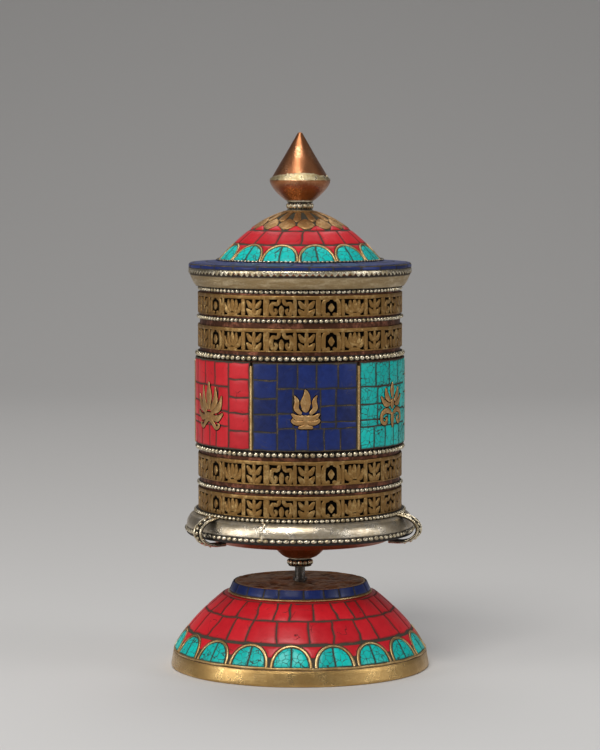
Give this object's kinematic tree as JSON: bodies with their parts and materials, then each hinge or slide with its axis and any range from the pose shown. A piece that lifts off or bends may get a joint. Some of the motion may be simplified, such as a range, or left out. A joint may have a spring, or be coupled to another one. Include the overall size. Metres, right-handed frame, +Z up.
{
  "type": "prayer wheel",
  "caption": "Tabletop prayer wheel: a stone-set metal drum that spins on a spindle over a bell base, with a lift-off domed lid and a screw-on finial.",
  "frame": {"origin": "centre of the foot ring's underside, on the table", "axes": "+Z up along the spindle; -Y is the front, with the first lapis panel nearly facing it; +X to the right"},
  "size_m": [0.0972, 0.0972, 0.1999],
  "materials": {
    "brass": "hand-worked, aged, darkened in the recesses",
    "german_silver": "warm white metal, polished on the high points and blackened in the recesses",
    "copper": "hand-polished sheet with brown patina",
    "dark_copper": "hammered, dark brown patina",
    "steel": "drawn rod, slightly oxidised",
    "coral_stone": "coral-red resin stone set in dark grout, ground flush and waxed",
    "turquoise_stone": "turquoise with brown veins set in dark grout, ground flush and waxed",
    "lapis_stone": "dark blue stone set in dark grout, ground flush and waxed",
    "paper": "thin rolled paper",
    "cloth": "woven yellow cloth",
    "plaster": "cast, unpainted"
  },
  "bodies": {
    "stand": {"foot_ring": "brass", "foot_wire": "brass", "base_shell": "copper", "base_coral_mosaic": "coral_stone", "base_turquoise_lobes": "turquoise_stone", "base_lobe_wires": "brass", "base_collar_wire": "brass", "base_lapis_collar": "lapis_stone", "base_top_plate": "dark_copper", "base_weight": "plaster", "base_cover": "copper", "spindle": "steel", "spindle_washer": "steel", "spindle_nut": "steel"},
    "pivot": {"pivot_ball": "steel"},
    "drum": {"drum_shell": "copper", "drum_floor": "copper", "bearing_boss": "copper", "boss_bead_ring": "german_silver", "guide_bush": "brass", "axle_tube": "copper", "pivot_plug": "steel", "prayer_scroll": "paper", "scroll_wrap": "cloth", "skirt_ring": "german_silver", "skirt_bead_lower": "german_silver", "skirt_bead_upper": "german_silver", "turning_loop_1": "german_silver", "turning_loop_2": "german_silver", "turning_loop_3": "german_silver", "fret_band_1": "brass", "fret_band_2": "brass", "fret_band_3": "brass", "fret_band_4": "brass", "bead_wire_1": "german_silver", "bead_wire_2": "german_silver", "bead_wire_3": "german_silver", "bead_wire_4": "german_silver", "bead_wire_5": "german_silver", "panel_dividers": "brass", "coral_panels": "coral_stone", "lapis_panels": "lapis_stone", "turquoise_panels": "turquoise_stone", "panel_ornaments": "brass"},
    "lid": {"cornice_ring": "german_silver", "gallery_strip": "german_silver", "lid_plate": "copper", "lid_sleeve": "copper", "lapis_brim": "lapis_stone", "dome_shell": "copper", "dome_coral_mosaic": "coral_stone", "dome_turquoise_lobes": "turquoise_stone", "dome_lobe_wires": "brass", "dome_petals": "brass", "dome_foot_wire": "german_silver"},
    "neck": {"neck_bead_ring": "german_silver"},
    "finial": {"finial_bowl": "copper", "finial_cone": "copper", "finial_seam": "german_silver", "finial_nut": "brass"}
  },
  "joints": [
    {"name": "wheel_spin", "type": "hinge", "parent": "stand", "child": "pivot", "pos_m": [0, 0, 0.126], "axis": [0, 0, 1], "continuous": true},
    {"name": "wheel_lift", "type": "slide", "parent": "pivot", "child": "drum", "axis": [0, 0, 1], "range_m": [0, 0.095]},
    {"name": "lid_lift", "type": "slide", "parent": "drum", "child": "lid", "axis": [0, 0, 1], "range_m": [0, 0.06]},
    {"name": "finial_rise", "type": "slide", "parent": "lid", "child": "neck", "axis": [0, 0, 1], "range_m": [0, 0.0081]},
    {"name": "finial_unscrew", "type": "hinge", "parent": "neck", "child": "finial", "pos_m": [0, 0, 0.18], "axis": [0, 0, 1], "range_deg": [0, 2880]}
  ],
  "couplings": [
    {"joint": "finial_rise", "follows": "finial_unscrew", "m_per_rad": 0.00015915}
  ]
}
